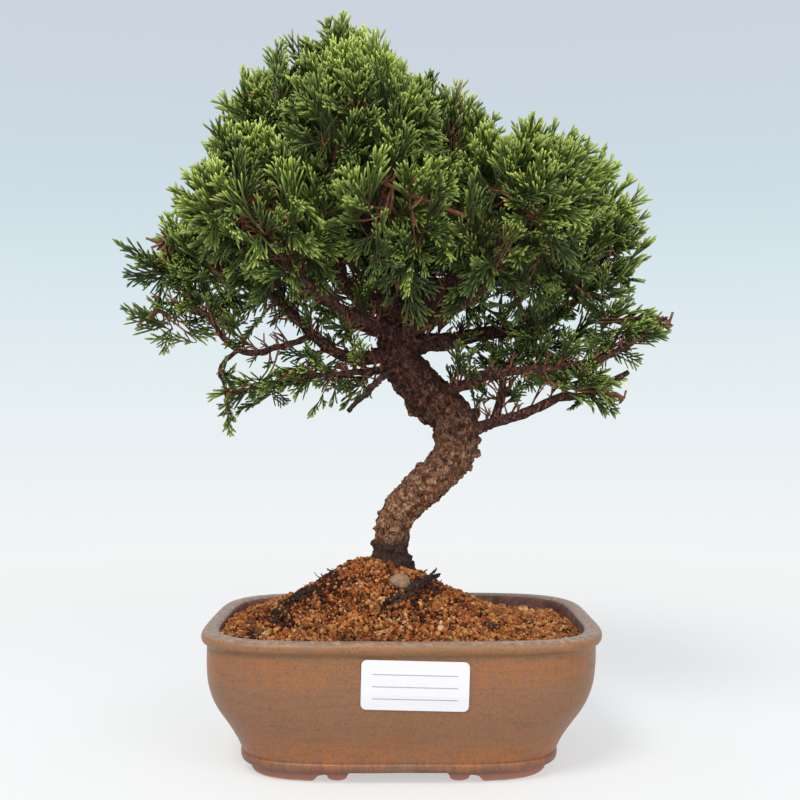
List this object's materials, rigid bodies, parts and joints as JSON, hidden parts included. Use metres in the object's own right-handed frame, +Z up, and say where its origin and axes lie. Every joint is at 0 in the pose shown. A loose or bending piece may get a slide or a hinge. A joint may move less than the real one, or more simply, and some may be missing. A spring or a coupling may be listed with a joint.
{
  "type": "bonsai tree in a pot",
  "caption": "Small juniper bonsai with a bent, flaky trunk and a dense green crown, planted in a mound of granular soil in a rectangular glazed pot on scrolled feet.",
  "frame": {"origin": "middle of the whole object's box, at the level of the pot's feet", "axes": "+Z up the tree, +X to the right along the pot's length, +Y towards the back, so -Y is the front with the label"},
  "size_m": [0.2684, 0.196, 0.3557],
  "materials": {
    "pot_glaze": "satin",
    "soil": "matte",
    "pebble": "matte",
    "label": "satin",
    "drain_screen": "matte",
    "clip_wire": "satin",
    "trunk_bark": "matte",
    "limb_bark": "matte",
    "dead_wood": "matte",
    "foliage": "satin"
  },
  "bodies": {
    "root": {"dead_root_left": "dead_wood", "dead_root_right": "dead_wood", "dead_twig": "dead_wood", "drain_screen_left": "drain_screen", "drain_screen_right": "drain_screen", "foliage_apex": "foliage", "foliage_center_back": "foliage", "foliage_center_front": "foliage", "foliage_left_back": "foliage", "foliage_left_droop": "foliage", "foliage_left_front": "foliage", "foliage_left_hanging": "foliage", "foliage_left_inner": "foliage", "foliage_left_shoulder": "foliage", "foliage_left_tip": "foliage", "foliage_left_under": "foliage", "foliage_low_right": "foliage", "foliage_low_right_tip": "foliage", "foliage_low_right_under": "foliage", "foliage_right_back": "foliage", "foliage_right_front": "foliage", "foliage_right_inner": "foliage", "foliage_right_shoulder": "foliage", "foliage_right_tip": "foliage", "foliage_top_left": "foliage", "foliage_top_right": "foliage", "foliage_upper_back": "foliage", "foliage_upper_front": "foliage", "foliage_whip_tip": "foliage", "label": "label", "limb_back_left": "limb_bark", "limb_back_right": "limb_bark", "limb_front_left": "limb_bark", "limb_front_right": "limb_bark", "limb_left_droop": "limb_bark", "limb_left_hanging": "limb_bark", "limb_left_low": "limb_bark", "limb_left_under": "limb_bark", "limb_left_upper": "limb_bark", "limb_low_right": "limb_bark", "limb_low_right_riser": "limb_bark", "limb_right_thick": "limb_bark", "limb_right_upper": "limb_bark", "limb_right_whip": "limb_bark", "pebble": "pebble", "pot": "pot_glaze", "screen_clip_left": "clip_wire", "screen_clip_right": "clip_wire", "soil": "soil", "trunk": "trunk_bark"}
  },
  "joints": []
}
